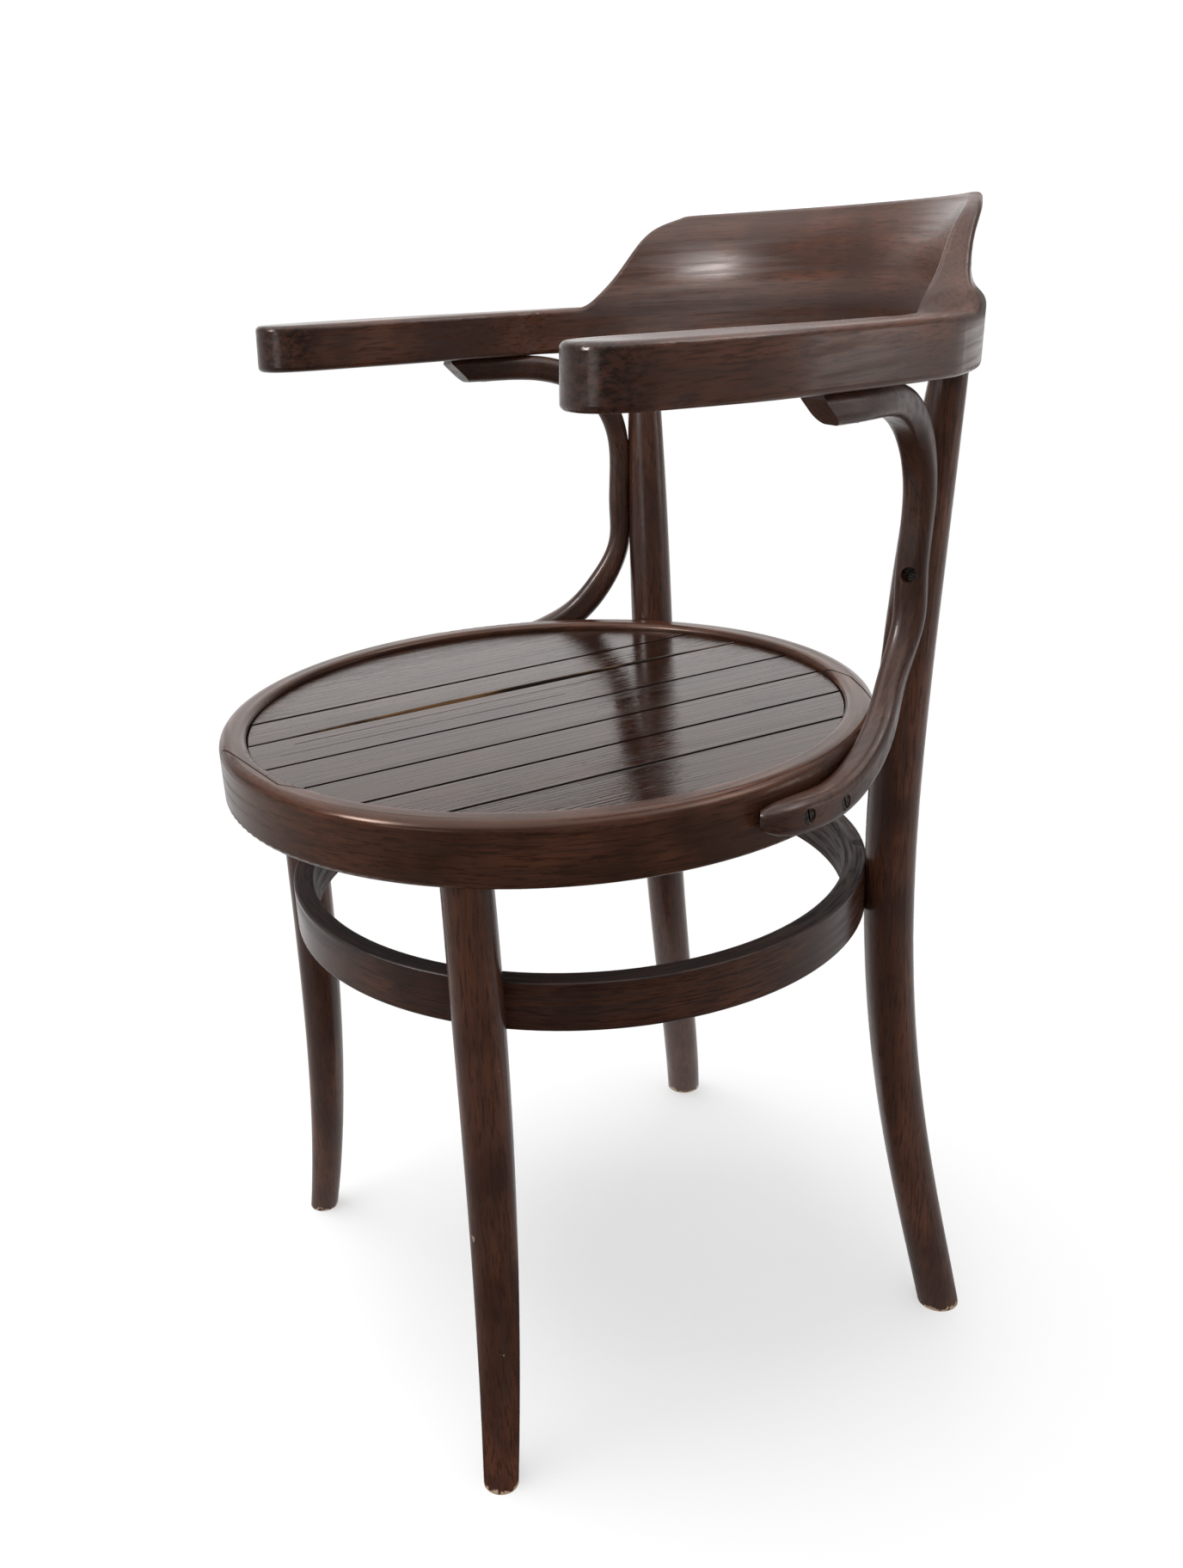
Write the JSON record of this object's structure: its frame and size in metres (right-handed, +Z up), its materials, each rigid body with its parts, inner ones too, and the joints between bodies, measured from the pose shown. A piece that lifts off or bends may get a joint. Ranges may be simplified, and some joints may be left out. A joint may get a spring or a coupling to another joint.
{
  "type": "bentwood armchair",
  "caption": "Bentwood armchair: round boarded seat in a bent ring, round splayed legs tied by a hoop, one bent rail forming arms and a raised back, bent arm braces.",
  "frame": {"origin": "middle of the bounding box in plan, on the floor", "axes": "+Z up, the front of the chair faces -Y, the sitter's left is +X"},
  "size_m": [0.493, 0.4832, 0.7479],
  "materials": {
    "ring_wood": "stained and varnished beech",
    "board_wood": "stained and varnished beech",
    "hoop_wood": "stained and varnished beech",
    "leg_wood": "stained and varnished beech",
    "rail_wood": "stained and varnished beech",
    "brace_wood": "stained and varnished beech",
    "screw_steel": "darkened, worn",
    "nail_steel": "darkened"
  },
  "bodies": {
    "root": {"seat_ring_left": "ring_wood", "seat_ring_right": "ring_wood", "seat_board_1": "board_wood", "seat_board_2": "board_wood", "seat_board_3": "board_wood", "seat_board_4": "board_wood", "seat_board_5": "board_wood", "seat_board_6": "board_wood", "seat_board_7": "board_wood", "leg_hoop": "hoop_wood", "front_leg_left": "leg_wood", "front_leg_right": "leg_wood", "rear_leg_left": "leg_wood", "rear_leg_right": "leg_wood", "arm_back_rail": "rail_wood", "arm_brace_left": "brace_wood", "arm_brace_right": "brace_wood", "brace_ring_screws": "screw_steel", "brace_post_screws": "screw_steel", "brace_arm_screws": "screw_steel", "hoop_screws": "screw_steel", "rear_leg_screws": "screw_steel", "scarf_nails": "nail_steel"}
  },
  "joints": []
}
